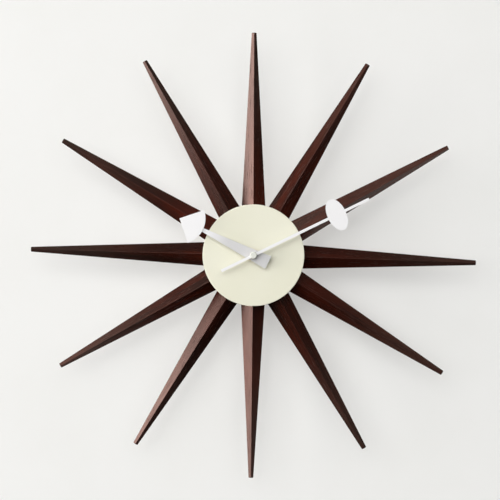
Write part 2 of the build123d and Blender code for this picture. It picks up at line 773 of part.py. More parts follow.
def make_motor():
    stator_rear = stator_depth + stator_thickness
    bar_top = rotor_place[1] + stator_bar_width / 2
    leg_top = coil_height + coil_core_width / 2 + 1
    bottom = sunk(stator_rear)
    top = sunk(stator_depth)
    stator = slab(stator_bar_length, stator_bar_width, bottom, top, 0, rotor_place[1])
    for side in (-1, 1):
        x = side * (stator_bar_length - stator_leg_width) / 2
        stator += slab(stator_leg_width, leg_top - bar_top + 1, bottom, top, x, (leg_top + bar_top - 1) / 2)
    hole = rotor_diameter / 2 + stator_hole_gap
    stator -= on_arbor(rotor_place, hole, stator_depth - 1, stator_rear + 1)
    save("stator_plate", stator)

    core_bottom = sunk(coil_depth + coil_core_thickness / 2)
    core_top = sunk(coil_depth - coil_core_thickness / 2)
    core = slab(coil_core_length, coil_core_width, core_bottom, core_top, 0, coil_height)
    # its ends are stepped down on to the legs of the stator
    for side in (-1, 1):
        x = side * (coil_core_length - stator_leg_width + 1) / 2
        core += slab(stator_leg_width - 1, coil_core_width, core_bottom, bottom, x, coil_height)
    save("coil_core", core)

    def along_coil(width, height, length, x=0.0):
        return Pos(x, coil_height, sunk(coil_depth)) * Box(length, width, height)

    hole_width = coil_core_width + 2 * bobbin_gap
    hole_height = coil_core_thickness + 2 * bobbin_gap
    bobbin = along_coil(hole_width + 2 * bobbin_wall, hole_height + 2 * bobbin_wall, bobbin_length)
    for side in (-1, 1):
        x = side * (bobbin_length - bobbin_flange_thickness) / 2
        bobbin += along_coil(bobbin_flange, bobbin_flange, bobbin_flange_thickness, x)
    save("coil_bobbin", bobbin - along_coil(hole_width, hole_height, bobbin_length + 1))

    wound_length = bobbin_length - 2 * bobbin_flange_thickness - 0.1
    winding = Rot(0, 90, 0) * Cylinder(winding_diameter / 2, wound_length)
    winding = Pos(0, coil_height, sunk(coil_depth)) * winding
    hollow_width = hole_width + 2 * bobbin_wall + 0.1
    hollow_height = hole_height + 2 * bobbin_wall + 0.1
    save("coil_winding", winding - along_coil(hollow_width, hollow_height, wound_length + 1))


def board_post_places():
    x = board_right - 2.2
    return ((x, board_bottom + 2.2), (x, board_top - 2.2))


def make_board():
    front = board_depth - board_thickness
    middle_x = (board_left + board_right) / 2
    middle_y = (board_bottom + board_top) / 2
    width = board_right - board_left
    height = board_top - board_bottom
    board = slab(width, height, sunk(board_depth), sunk(front), middle_x, middle_y)
    for place in board_post_places():
        board -= on_arbor(place, board_pin_diameter / 2 + 0.05, front - 1, board_depth + 1)
    save("circuit_board", board)

    can = Rot(90, 0, 0) * Cylinder(crystal_diameter / 2, crystal_length)
    can = fillet(can.edges(), 0.3)
    x = board_left + 2.0
    save("quartz_crystal", Pos(x, middle_y, sunk(board_depth + crystal_diameter / 2)) * can)

    blob = on_arbor((middle_x, middle_y), chip_diameter / 2, board_depth, board_depth + chip_height)
    save("driver_chip", fillet(blob.edges().sort_by(Axis.Z)[0], chip_height * 0.8))


# ---------- battery and its contacts ----------


def along_cell(radius, start, end):
    length = end - start
    body = Rot(0, 90, 0) * Cylinder(radius, length)
    return Pos((start + end) / 2, cell_middle, sunk(cell_depth)) * body


def make_battery():
    wall_face = case_size / 2 - case_wall
    cap_end = wall_face - contact_thickness - cell_contact_gap
    can_end = cap_end - cell_cap_height
    can_start = cap_end - cell_length
    can = along_cell(cell_diameter / 2 - cell_sleeve, can_start, can_end)
    can = fillet(can.edges(), 0.6)
    save("battery_can", can)
    cap = along_cell(cell_cap_diameter / 2, can_end, cap_end)
    save("battery_cap", fillet(cap.edges().sort_by(Axis.X)[-1], 0.4))
    sleeve = along_cell(cell_diameter / 2, can_start + 1.2, can_end - 1.2)
    sleeve -= along_cell(cell_diameter / 2 - cell_sleeve, can_start, can_end)
    save("battery_sleeve", sleeve)

    # flat plate against the cap, and a folded leaf against the can
    plate = Pos(wall_face - contact_thickness / 2, cell_middle, sunk(cell_depth))
    save("positive_contact", plate * Box(contact_thickness, contact_width, contact_rise))
    leaf_face = -wall_face
    reach = can_start - cell_contact_gap
    low = -contact_rise / 2
    high = contact_rise / 2
    line = Polyline(
        (leaf_face + contact_thickness / 2, low),
        (leaf_face + contact_thickness / 2, high),
        (reach - contact_thickness, 0.6),
        (reach - contact_thickness, -0.6),
        (leaf_face + contact_thickness * 2, low + 1),
    )
    section = Plane.XZ * offset(line, contact_thickness / 2, kind=Kind.INTERSECTION)
    leaf = extrude(make_face(section.edges()), contact_width / 2, both=True)
    save("negative_contact", Pos(0, cell_middle, sunk(cell_depth)) * leaf)


# ---------- hands ----------


def make_hour_hand():
    bottom = hour_hand_back
    top = bottom + hand_thickness
    slope = (hour_hand_neck_width - hour_hand_tail_width) / (hour_hand_neck + hour_hand_tail)
    end = hour_hand_neck + hour_hand_lap
    end_width = hour_hand_neck_width + slope * hour_hand_lap
    outline = [
        (-hour_hand_tail_width / 2, -hour_hand_tail),
        (hour_hand_tail_width / 2, -hour_hand_tail),
        (end_width / 2, end),
        (-end_width / 2, end),
    ]
    arm = Pos(0, 0, bottom) * extrude(make_face(Polyline(*outline, close=True)), hand_thickness)
    arm -= disc(hour_collet_neck / 2 + press_gap, bottom - 1, top + 1)
    save("hour_hand_arm", clockwise(arm, hour_hand_bearing))

    # a sector of a disc whose corner points away from the hand axis
    half = math.radians(hour_fan_angle / 2)
    apex = hour_hand_neck + hour_fan_radius
    side = hour_fan_radius * math.sin(half)
    corner = apex - hour_fan_radius * math.cos(half)
    edge = Polyline((-side, corner), (0, apex), (side, corner)) + ThreePointArc(
        (side, corner), (0, hour_hand_neck), (-side, corner)
    )
    fan = Pos(0, 0, top) * extrude(make_face(edge), hand_thickness)
    save("hour_hand_fan", clockwise(fan, hour_hand_bearing))

    collet = disc(hour_collet_diameter / 2, bottom - hour_collet_flange, bottom)
    collet += disc(hour_collet_neck / 2, bottom, top)
    collet -= disc(hour_pipe_diameter / 2 + press_gap, bottom - 2, top + 1)
    save("hour_collet", collet)


def make_minute_hand():
    bottom = minute_hand_back
    top = minute_hand_front
    length = minute_hand_reach + minute_hand_tail
    middle = (minute_hand_reach - minute_hand_tail) / 2
    blade = slab(minute_hand_width, length, bottom, top, 0, middle)
    blade += disc(minute_hub_diameter / 2, bottom, top)
    oval = Ellipse(minute_oval_across / 2, minute_oval_along / 2)
    blade += Pos(0, minute_oval_distance, bottom) * extrude(oval, hand_thickness)
    blade -= disc(minute_seat_diameter / 2 + press_gap, bottom - 1, top + 1)
    save("minute_hand", clockwise(blade, minute_hand_bearing))

    # a plain sleeve under the hand, on the thick part of the arbor
    sleeve_bottom = minute_hand_back - minute_hand_clearance
    bore = cannon_diameter / 2 + press_gap
    save("minute_bush", ring(minute_bush_diameter / 2, bore, sleeve_bottom + 0.4, bottom))

    skirt = disc(cap_nut_diameter / 2, top, top + cap_nut_skirt)
    dome_base = top + cap_nut_skirt
    dome = disc(cap_nut_diameter / 2, dome_base, top + cap_nut_height)
    dome = fillet(dome.edges().sort_by(Axis.Z)[-1], (cap_nut_height - cap_nut_skirt) * 0.9)
    flats = extrude(RegularPolygon(cap_nut_flats / 2, 6, major_radius=False), cap_nut_height)
    hexagon = Pos(0, 0, top) * flats
    cap = (skirt + dome) & hexagon
    hole_top = top + cap_nut_height - 0.7
    cap -= disc(minute_seat_diameter / 2 + press_gap, top - 1, hole_top)
    save("cap_nut", cap)


make_rays()
make_ray_screws()
make_drum()
make_wall_pad()
make_dial()
make_hanger()
make_fixings()
make_front_case()
make_train_plate()
make_cover()
make_going_train()
make_motion_work()
make_motor()
make_board()
make_battery()
make_hour_hand()
make_minute_hand()

os.makedirs("parts", exist_ok=True)
for name, shape in pieces.items():
    export_step(shape, f"parts/{name}.step")
    print(name, round(shape.volume, 1))
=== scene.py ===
import math

import bpy
from mathutils import Matrix, Vector


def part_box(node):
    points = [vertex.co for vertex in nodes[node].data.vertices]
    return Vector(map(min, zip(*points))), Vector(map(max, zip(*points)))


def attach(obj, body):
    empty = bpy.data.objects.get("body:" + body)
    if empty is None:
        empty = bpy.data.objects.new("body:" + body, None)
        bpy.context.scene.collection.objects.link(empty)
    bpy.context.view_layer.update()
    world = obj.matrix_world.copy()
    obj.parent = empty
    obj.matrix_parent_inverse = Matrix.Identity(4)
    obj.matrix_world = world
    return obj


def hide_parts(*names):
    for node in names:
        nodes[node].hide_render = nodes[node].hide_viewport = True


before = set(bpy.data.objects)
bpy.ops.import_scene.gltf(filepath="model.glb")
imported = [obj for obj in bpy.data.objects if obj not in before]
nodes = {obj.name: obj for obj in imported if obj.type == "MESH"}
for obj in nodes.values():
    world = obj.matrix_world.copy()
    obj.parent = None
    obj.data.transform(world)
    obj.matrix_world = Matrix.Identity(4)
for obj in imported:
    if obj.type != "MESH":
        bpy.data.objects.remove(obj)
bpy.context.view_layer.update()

rayCount = 12
rayStep = 360 / rayCount  # degrees from ray to ray
print("frame loaded,", len(nodes), "nodes")


def paint(red, green, blue):  # a colour as seen on screen, 0 to 255, made linear
    linear = []
    for value in (red, green, blue):
        part = value / 255
        linear.append(part / 12.92 if part <= 0.04045 else ((part + 0.055) / 1.055) ** 2.4)
    return (*linear, 1.0)


class Signal:  # an output socket that can stand in a sum
    def __init__(self, finish, socket):
        self.finish = finish
        self.socket = socket

    def sum(self, operation, *values):
        return self.finish.node("ShaderNodeMath", {"operation": operation}, dict(enumerate(values)))

    def __add__(self, other):
        return self.sum("ADD", self, other)

    def __sub__(self, other):
        return self.sum("SUBTRACT", self, other)

    def __rsub__(self, other):
        return self.sum("SUBTRACT", other, self)

    def __mul__(self, other):
        return self.sum("MULTIPLY", self, other)

    __radd__ = __add__
    __rmul__ = __mul__


class Finish:  # one material, built node by node
    def __init__(self, name, **fixed):
        self.material = bpy.data.materials.new(name)
        self.material.use_nodes = True
        self.tree = self.material.node_tree
        self.shader = self.tree.nodes["Principled BSDF"]
        for key, value in fixed.items():
            self.shader.inputs[key.replace("_", " ")].default_value = value

    def node(self, kind, settings=None, values=None, out=0):
        made = self.tree.nodes.new(kind)
        for key, value in (settings or {}).items():
            setattr(made, key, value)
        for key, value in (values or {}).items():
            if isinstance(value, Signal):
                self.tree.links.new(value.socket, made.inputs[key])
            else:
                made.inputs[key].default_value = value
        return Signal(self, made.outputs[out])

    def feed(self, key, signal):
        self.tree.links.new(signal.socket, self.shader.inputs[key])

    def place(self, stretch=(1, 1, 1), turn=0.0, shift=(0, 0, 0)):  # where on the piece, in metres
        spot = self.node("ShaderNodeTexCoord", out="Object")
        turned = self.node(
            "ShaderNodeMapping", {}, {"Vector": spot, "Location": shift, "Rotation": (0, turn, 0)}
        )
        return self.node(
            "ShaderNodeVectorMath", {"operation": "MULTIPLY"}, {0: turned, 1: stretch}
        )

    def fromAxis(self):  # distance from the axis of the hands, in metres
        spot = self.node("ShaderNodeTexCoord", out="Object")
        flat = self.node("ShaderNodeVectorMath", {"operation": "MULTIPLY"}, {0: spot, 1: (1, 0, 1)})
        return self.node("ShaderNodeVectorMath", {"operation": "LENGTH"}, {0: flat}, "Value")

    def noise(self, spot, scale, detail, rough, warp=0.0):
        return self.node(
            "ShaderNodeTexNoise",
            {},
            {"Vector": spot, "Scale": scale, "Detail": detail, "Roughness": rough, "Distortion": warp},
        )

    def between(self, signal, low, high, toLow=0.0, toHigh=1.0):  # eases from one value to the other
        return self.node(
            "ShaderNodeMapRange",
            {"interpolation_type": "SMOOTHSTEP", "clamp": True},
            {0: signal, 1: low, 2: high, 3: toLow, 4: toHigh},
        )

    def blend(self, amount, one, other):
        return self.node("ShaderNodeMix", {"data_type": "RGBA"}, {0: amount, 6: one, 7: other}, 2)

    def bump(self, height, distance, strength):
        self.feed(
            "Normal",
            self.node(
                "ShaderNodeBump", {}, {"Strength": strength, "Distance": distance, "Height": height}
            ),
        )


def dress(material, *names):
    for name in names:
        for slot in nodes[name].material_slots:
            slot.material = material


# stained wood of the rays, with the tone and gloss of each ray
rayWood = {
    "deep": paint(13, 6, 4),
    "warm": paint(70, 27, 16),
    "red": paint(84, 29, 16),
    "pore": paint(14, 6, 5),
    "paintedTipReflection": paint(66, 52, 46),  # painted reflection: paler, greyer colour towards the tips, standing in for the wall's light seen in the facets
    "paintedReflectionStart": 0.085,
    "paintedReflectionEnd": 0.200,  # metres from the hand axis
    "bands": 55,  # grain, fine streaks, pores and clouds, as noise scales
    "streaks": 420,
    "pores": 1500,
    "clouds": 18,
    "relief": 0.00009,
    "sheen": (1.0, 0.63, 0.54, 1.0),
    "gloss": 0.55,
    # one value for each ray, clockwise from twelve o'clock
    "roughness": [0.27, 0.26, 0.22, 0.22, 0.28, 0.28, 0.37, 0.26, 0.22, 0.30, 0.32, 0.27],
    "tone": [0.6, 0.75, 0.75, 0.25, 0.5, 0.35, 0.4, 0.25, 0.6, 0.45, 0.6, 0.5],
}


def rayFinish(index):
    wood = rayWood
    bearing = math.radians(rayStep * index)
    look = Finish(
        "rayWood%02d" % (index + 1), Specular_IOR_Level=wood["gloss"], Specular_Tint=wood["sheen"]
    )
    shift = (0.13 * index, 0.07 * index, 0.31 * index)  # so that no two rays have the same grain
    along = look.place((1, 1, 0.07), -bearing, shift)
    bands = look.noise(along, wood["bands"], 3, 0.5, 0.6)
    streaks = look.noise(along, wood["streaks"], 4, 0.6, 0.2)
    pores = look.noise(look.place((1, 1, 0.035), -bearing, shift), wood["pores"], 2, 0.5)
    cloud = look.noise(look.place((1, 1, 0.4), -bearing, shift), wood["clouds"], 2, 0.5)
    grain = look.between(bands * 0.62 + streaks * 0.38, 0.36, 0.66)
    body = look.blend(grain, wood["deep"], wood["warm"])
    redness = look.between(cloud, 0.35, 0.7) * 0.6
    body = look.blend(redness, body, wood["red"])
    tone = wood["tone"][index]
    body = look.blend(1 - look.between(cloud, 0.2, 0.8, tone, tone + 0.35), body, wood["deep"])
    # painted reflection: the rays turn paler and greyer from the hand axis out towards the tips
    paintedTipReflection = look.between(look.fromAxis(), wood["paintedReflectionStart"], wood["paintedReflectionEnd"]) * (grain * 0.25 + 0.3)
    body = look.blend(paintedTipReflection, body, wood["paintedTipReflection"])
    pits = look.between(pores, 0.60, 0.74)
    look.feed("Base Color", look.blend(pits * 0.75, body, wood["pore"]))
    look.feed("Roughness", grain * -0.05 + pits * 0.16 + wood["roughness"][index])
    look.bump(streaks * 0.35 - pits, wood["relief"], 0.5)
    return look.material


def lacquerFinish(name, colour, second, roughness, peel, scale):  # peel is the height of its ripple
    look = Finish(name)
    spot = look.place()
    cloud = look.noise(spot, 14, 3, 0.5)
    fine = look.noise(spot, scale, 2, 0.5)
    look.feed("Base Color", look.blend(look.between(cloud, 0.3, 0.7), colour, second))
    look.feed("Roughness", look.between(cloud, 0.3, 0.7, roughness - 0.03, roughness + 0.04))
    look.bump(fine, peel, 0.4)
    return look.material


def platedFinish(name, colour, second, roughness, brush=(1, 1, 0.05), scale=1400):
    look = Finish(name, Metallic=1.0)
    cloud = look.noise(look.place(), 70, 3, 0.55)
    lines = look.noise(look.place(brush), scale, 3, 0.6)
    spots = look.between(look.noise(look.place(), 600, 2, 0.5), 0.62, 0.75)
    tint = look.blend(look.between(cloud, 0.3, 0.7), colour, second)
    look.feed("Base Color", look.blend(spots * 0.25, tint, second))
    look.feed("Roughness", look.between(lines, 0.3, 0.7, roughness - 0.06, roughness + 0.10))
    look.bump(lines, 0.00002, 0.35)
    return look.material


def mouldedFinish(name, colour, second, roughness, texture=0.00004, scale=2600):
    look = Finish(name)
    spot = look.place()
    cloud = look.noise(spot, 45, 2, 0.5)
    spark = look.noise(spot, scale, 3, 0.65)
    look.feed("Base Color", look.blend(look.between(cloud, 0.3, 0.7), colour, second))
    look.feed("Roughness", look.between(spark, 0.3, 0.7, roughness - 0.06, roughness + 0.08))
    look.bump(spark, texture, 0.5)
    return look.material


dialPaint = {
    "centre": paint(238, 237, 217),
    "edge": paint(241, 240, 222),
    "speck": paint(224, 222, 200),
    "smoothest": 0.46,
    "roughest": 0.54,
}


def dialFinish():
    look = Finish("dialLacquer", Specular_IOR_Level=0.4)
    spot = look.place()
    cloud = look.noise(spot, 16, 3, 0.5)
    fine = look.noise(spot, 1100, 2, 0.5)
    specks = look.between(look.noise(spot, 2300, 1, 0.5), 0.72, 0.8)
    base = look.blend(look.between(cloud, 0.3, 0.7), dialPaint["centre"], dialPaint["edge"])
    look.feed("Base Color", look.blend(specks * 0.2, base, dialPaint["speck"]))
    look.feed("Roughness", look.between(cloud, 0.3, 0.7, dialPaint["smoothest"], dialPaint["roughest"]))
    look.bump(fine, 0.00002, 0.3)
    return look.material


# painted shade: the white hour arm is grey near the hub and tail, and fades to white towards the fan
armPaint = {
    "paintedShadeGrey": paint(216, 216, 217),
    "white": paint(250, 250, 252),
    "cloud": paint(205, 205, 207),
    "shadeFadeStart": 0.026,
    "shadeFadeEnd": 0.058,  # metres from the hand axis
}


def armFinish():
    look = Finish("armPaintedShade")
    spot = look.place()
    far = look.fromAxis()
    # the painted shade fades to white only along the long end of the arm, not its tail
    upper = look.between(look.node("ShaderNodeSeparateXYZ", {}, {0: spot}, "X"), 0.0, -0.01)
    shadeFade = look.between(far, armPaint["shadeFadeStart"], armPaint["shadeFadeEnd"]) * upper
    cloud = look.noise(spot, 60, 3, 0.5)
    fine = look.noise(spot, 1500, 2, 0.5)
    base = look.blend(shadeFade, armPaint["paintedShadeGrey"], armPaint["white"])
    clouded = look.blend(look.between(cloud, 0.3, 0.8) * 0.15, base, armPaint["cloud"])
    look.feed("Base Color", clouded)
    look.feed("Roughness", look.between(cloud, 0.3, 0.7, 0.36, 0.44))
    look.bump(fine, 0.000015, 0.4)
    return look.material


feltPaint = {"dark": paint(72, 71, 72), "light": paint(116, 114, 113), "clump": paint(90, 87, 84)}


def feltFinish():
    look = Finish("feltGrey", Specular_IOR_Level=0.2, Sheen_Weight=0.3, Sheen_Roughness=0.6)
    spot = look.place()
    fibres = look.noise(spot, 2200, 5, 0.75, 1.6)
    clumps = look.noise(spot, 240, 4, 0.6, 0.8)
    tone = look.blend(look.between(fibres, 0.3, 0.7), feltPaint["dark"], feltPaint["light"])
    look.feed("Base Color", look.blend(look.between(clumps, 0.5, 0.8) * 0.5, tone, feltPaint["clump"]))
    look.feed("Roughness", look.between(fibres, 0.3, 0.7, 0.85, 1.0))
    look.bump(fibres * 0.7 + clumps * 0.5, 0.0005, 0.9)
    return look.material


boardPaint = {"dark": paint(42, 108, 72), "light": paint(50, 122, 82), "track": paint(84, 150, 108)}


def boardFinish():
    look = Finish("boardGreen", Coat_Weight=0.4, Coat_Roughness=0.15)
    spot = look.place()
    weave = look.node(
        "ShaderNodeTexWave",
        {"wave_type": "BANDS", "bands_direction": "DIAGONAL"},
        {"Vector": spot, "Scale": 500.0, "Distortion": 1.5, "Detail": 2.0},
        1,
    )
    cloud = look.noise(spot, 90, 3, 0.5)
    tracks = look.between(look.noise(look.place((1, 1, 0.25)), 260, 0, 0.5), 0.49, 0.53)
    tone = look.blend(look.between(cloud, 0.3, 0.7), boardPaint["dark"], boardPaint["light"])
    tone = look.blend(tracks * 0.45, tone, boardPaint["track"])
    look.feed("Base Color", tone)
    look.feed("Roughness", look.between(weave, 0.2, 0.8, 0.32, 0.42))
    look.bump(tracks + weave * 0.2, 0.00003, 0.5)
    return look.material


copperPaint = {"dark": paint(203, 130, 90), "light": paint(221, 148, 106)}


def copperFinish():
    look = Finish("copperWire", Metallic=1.0, Coat_Weight=0.5, Coat_Roughness=0.1)
    spot = look.place()
    cloud = look.noise(spot, 160, 3, 0.5)
    tone = look.blend(look.between(cloud, 0.3, 0.7), copperPaint["dark"], copperPaint["light"])
    look.feed("Base Color", tone)
    look.feed("Roughness", look.between(cloud, 0.3, 0.7, 0.24, 0.34))
    look.bump(look.noise(spot, 1800, 2, 0.5), 0.00001, 0.4)
    return look.material


sleevePaint = {
    "body": paint(58, 92, 138),
    "band": paint(196, 150, 62),
    "bandFrom": 0.0125,  # metres to the right of the hand axis
    "bandBlur": 0.0003,
    "dust": paint(60, 60, 62),
    "scuff": paint(150, 150, 152),
}


def sleeveFinish():
    look = Finish("cellSleeve", Coat_Weight=0.6, Coat_Roughness=0.08)
    spot = look.place()
    across = look.node("ShaderNodeSeparateXYZ", {}, {0: spot}, "X")
    band = look.between(
        across, sleevePaint["bandFrom"], sleevePaint["bandFrom"] + sleevePaint["bandBlur"]
    )
    cloud = look.noise(look.place((0.1, 1, 1)), 300, 3, 0.5)
    scuff = look.between(look.noise(spot, 500, 4, 0.7), 0.62, 0.75)
    tone = look.blend(band, sleevePaint["body"], sleevePaint["band"])
    tone = look.blend(look.between(cloud, 0.3, 0.7) * 0.2, tone, sleevePaint["dust"])
    look.feed("Base Color", look.blend(scuff * 0.2, tone, sleevePaint["scuff"]))
    look.feed("Roughness", scuff * 0.2 + look.between(cloud, 0.3, 0.7, 0.28, 0.36))
    look.bump(cloud, 0.00002, 0.4)
    return look.material


# what the modelling of all the new pieces shares
bench = {
    "overcut": 0.001,  # how far a cutting tool passes through
    "weld": 0.000001,  # corners nearer than this become one
    "near": 0.0001,  # how close a corner must be to a plane to count as on it
    "facing": 0.9,  # how squarely a face must look along an axis to be picked
    "smoothAngle": 40,  # degrees between faces that still shade as one
    "flatWeight": 100,
}


def clearSelection():
    bpy.ops.object.select_all(action="DESELECT")


def activate(piece):
    clearSelection()
    piece.select_set(True)
    bpy.context.view_layer.objects.active = piece


def depthOf(node):  # rear and front of a node, along y
    low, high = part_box(node)
    return high.y, low.y


def applyPlace(piece):
    activate(piece)
    bpy.ops.object.transform_apply(location=True, rotation=True, scale=True)
    return piece


def slabAt(width, height, rear, front, up):
    clearSelection()
    bpy.ops.mesh.primitive_cube_add(size=1, location=(0, (rear + front) / 2, up))
    made = bpy.context.active_object
    made.scale = (width, rear - front, height)
    return applyPlace(made)


def discAt(radius, rear, front, sides, up=0.0):
    clearSelection()
    bpy.ops.mesh.primitive_cylinder_add(
        vertices=sides,
        radius=radius,
        depth=rear - front,
        location=(0, (rear + front) / 2, up),
        rotation=(math.pi / 2, 0, 0),
    )
    return applyPlace(bpy.context.active_object)


def readyToPick(piece, kind):  # nothing picked yet, in corner, edge or face mode
    activate(piece)
    bpy.ops.object.mode_set(mode="EDIT")
    bpy.ops.mesh.select_mode(type=kind)
    bpy.ops.mesh.select_all(action="DESELECT")
    bpy.ops.object.mode_set(mode="OBJECT")
    return piece.data


def resizePart(piece, chosen, scale):  # the corners that chosen picks, about their own middle
    for corner in readyToPick(piece, "VERT").vertices:
        corner.select = chosen(corner.co)
    bpy.ops.object.mode_set(mode="EDIT")
    bpy.ops.transform.resize(value=scale)
    bpy.ops.object.mode_set(mode="OBJECT")


def cutAway(piece, point, normal):  # takes away what lies on the normal's side, and closes the cut
    activate(piece)
    bpy.ops.object.mode_set(mode="EDIT")
    bpy.ops.mesh.select_all(action="SELECT")
    bpy.ops.mesh.bisect(plane_co=point, plane_no=normal, use_fill=True, clear_outer=True)
    bpy.ops.object.mode_set(mode="OBJECT")


def combine(piece, tool, how):  # the tool is used up
    activate(piece)
    join = piece.modifiers.new("join", "BOOLEAN")
    join.operation = how
    join.solver = "EXACT"
    join.object = tool
    bpy.ops.object.modifier_apply(modifier=join.name)
    bpy.data.objects.remove(tool, do_unlink=True)


def bore(piece, radius, rear, front, sides):  # a round hole on the hand axis, open to the rear
    combine(piece, discAt(radius, rear + bench["overcut"], front, sides), "DIFFERENCE")


def soften(piece, width, steps=2, angle=35):  # rounds the edges sharper than the angle
    activate(piece)
    edge = piece.modifiers.new("soften", "BEVEL")
    edge.width = width
    edge.segments = steps
    edge.limit_method = "ANGLE"
    edge.angle_limit = math.radians(angle)
    bpy.ops.object.modifier_apply(modifier=edge.name)


def finishPiece(piece, name, body, material, replaced, bearing=0.0):
    # a piece is shaped pointing to twelve o'clock, and turned to its bearing here
    piece.rotation_euler = (0, math.radians(bearing), 0)
    applyPlace(piece)
    bpy.ops.object.mode_set(mode="EDIT")
    bpy.ops.mesh.select_all(action="SELECT")
    bpy.ops.mesh.remove_doubles(threshold=bench["weld"])
    bpy.ops.mesh.normals_make_consistent(inside=False)
    bpy.ops.object.mode_set(mode="OBJECT")
    bpy.ops.object.shade_smooth_by_angle(angle=math.radians(bench["smoothAngle"]))
    flat = piece.modifiers.new("flat", "WEIGHTED_NORMAL")  # keeps broad faces flat beside round edges
    flat.keep_sharp = True
    flat.weight = bench["flatWeight"]
    bpy.ops.object.modifier_apply(modifier=flat.name)
    piece.name = name
    piece.data.name = name
    piece.data.materials.clear()
    piece.data.materials.append(material)
    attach(piece, body)
    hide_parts(*replaced)


# minute hand: a bar, its hub and the oval, cut from one sheet
minuteHand = {
    "bearing": 63.0,  # degrees clockwise from twelve o'clock
    "reach": 0.1339,
    "tail": 0.0371,
    "width": 0.0029,
    "hub": 0.0033,
    "hubSides": 72,
    "ovalDistance": 0.0964,
    "ovalAcross": 0.0174,  # half sizes
    "ovalAlong": 0.00975,
    "ovalSides": 160,
    "seat": 0.00113,  # bore for the bush
    "seatSides": 48,
    "edge": 0.00018,
}


def makeMinuteHand(material):
    rear, front = depthOf("minute_hand")
    size = minuteHand
    length = size["reach"] + size["tail"]
    hand = slabAt(size["width"], length, rear, front, (size["reach"] - size["tail"]) / 2)
    oval = discAt(size["ovalAcross"], rear, front, size["ovalSides"], size["ovalDistance"])
    resizePart(oval, lambda place: True, (1, 1, size["ovalAlong"] / size["ovalAcross"]))
    combine(hand, oval, "UNION")
    combine(hand, discAt(size["hub"], rear, front, size["hubSides"]), "UNION")
    bore(hand, size["seat"], rear, front - bench["overcut"], size["seatSides"])
    soften(hand, size["edge"])
    finishPiece(
        hand, "minuteHandBlade", "minute_hand", material, ["minute_hand"],
        size["bearing"],
    )


# hour hand: an arm, painted grey near the hub as shade, that narrows to a white fan
hourHand = {
    "bearing": -64.5,
    "tail": 0.0172,
    "tailWidth": 0.0144,
    "neck": 0.0590,
    "neckWidth": 0.0041,
    "lap": 0.0120,  # length of the arm behind the fan
    "fanRadius": 0.0271,
    "fanSides": 288,
    "fanAngle": 90.0,
    "fanCorner": 0.0004,
    "sharp": 0.6,  # radians between faces that meet in a sharp corner
    "seat": 0.00333,  # bore for the collet
    "seatSides": 72,
    "edge": 0.00018,
}


def makeHourArm(material):
    rear, front = depthOf("hour_hand_arm")
    size = hourHand
    end = size["neck"] + size["lap"]
    slope = (size["neckWidth"] - size["tailWidth"]) / (size["neck"] + size["tail"])
    endWidth = size["neckWidth"] + slope * size["lap"]
    length = end + size["tail"]
    arm = slabAt(size["tailWidth"], length, rear, front, (end - size["tail"]) / 2)
    resizePart(arm, lambda place: place.z > 0, (endWidth / size["tailWidth"], 1, 1))
    bore(arm, size["seat"], rear, front - bench["overcut"], size["seatSides"])
    soften(arm, size["edge"])
    finishPiece(
        arm, "hourHandArm", "hour_hand", material, ["hour_hand_arm"], size["bearing"]
    )


def makeHourFan(material):
    rear, front = depthOf("hour_hand_fan")
    size = hourHand
    apex = size["neck"] + size["fanRadius"]
    half = math.radians(size["fanAngle"] / 2)
    fan = discAt(size["fanRadius"], rear, front, size["fanSides"], apex)
    for side in (-1, 1):
        cutAway(fan, (0, 0, apex), (side * math.cos(half), 0, math.sin(half)))
    roundCorners(fan, size["fanCorner"], size["sharp"], rear, front)
    soften(fan, size["edge"])
    finishPiece(
        fan, "hourHandFan", "hour_hand", material, ["hour_hand_fan"], size["bearing"]
    )


def roundCorners(piece, radius, sharp, rear, front):  # the corners of a sheet, seen from the front
    mesh = readyToPick(piece, "EDGE")
    sides = {}
    for face in mesh.polygons:
        for key in face.edge_keys:
            sides.setdefault(key, []).append(face.normal)
    for edge in mesh.edges:
        ends = [mesh.vertices[number].co.y for number in edge.vertices]
        through = abs(ends[0] - ends[1]) > (rear - front) - bench["near"]
        normals = sides[edge.key]
        edge.select = through and len(normals) == 2 and normals[0].angle(normals[1]) > sharp
    bpy.ops.object.mode_set(mode="EDIT")
    bpy.ops.mesh.bevel(offset=radius, segments=4, affect="EDGES")
    bpy.ops.object.mode_set(mode="OBJECT")


# cap nut that closes the hands: a low dome with six flats
capNut = {
    "radius": 0.0038,
    "sides": 144,
    "flat": 0.0035,  # half across the flats
    "dome": 0.00126,
    "domeSteps": 8,
    "edge": 0.00012,
    "edgeAngle": 25,
    "seat": 0.00113,
    "seatSides": 48,
    "roof": 0.0007,  # left over the bore
}


def makeCapNut(material):
    rear, front = depthOf("cap_nut")
    size = capNut
    cap = discAt(size["radius"], rear, front, size["sides"])
    for face in readyToPick(cap, "FACE").polygons:
        face.select = face.normal.y < -bench["facing"]
    bpy.ops.object.mode_set(mode="EDIT")
    bpy.ops.mesh.bevel(offset=size["dome"], segments=size["domeSteps"], affect="EDGES")
    bpy.ops.object.mode_set(mode="OBJECT")
    overcut = bench["overcut"]
    hexagon = discAt(size["flat"] / math.cos(math.pi / 6), rear + overcut, front - overcut, 6)
    hexagon.rotation_euler = (0, math.radians(30), 0)
    combine(cap, applyPlace(hexagon), "INTERSECT")
    bore(cap, size["seat"], rear, front + size["roof"], size["seatSides"])
    soften(cap, size["edge"], angle=size["edgeAngle"])
    finishPiece(cap, "capNutDome", "minute_hand", material, ["cap_nut"])


# dial: a thick disc with a rolled edge, bored for the bushing
dial = {"sides": 256, "hole": 0.00415, "holeSides": 72, "edge": 0.0005, "edgeSteps": 4}


def makeDial(material):
    rear, front = depthOf("dial_disc")
    low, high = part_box("dial_disc")
    disc = discAt((high.x - low.x) / 2, rear, front, dial["sides"])
    bore(disc, dial["hole"], rear, front - bench["overcut"], dial["holeSides"])
    soften(disc, dial["edge"], dial["edgeSteps"])
    finishPiece(disc, "dialFace", "root", material, ["dial_disc"])


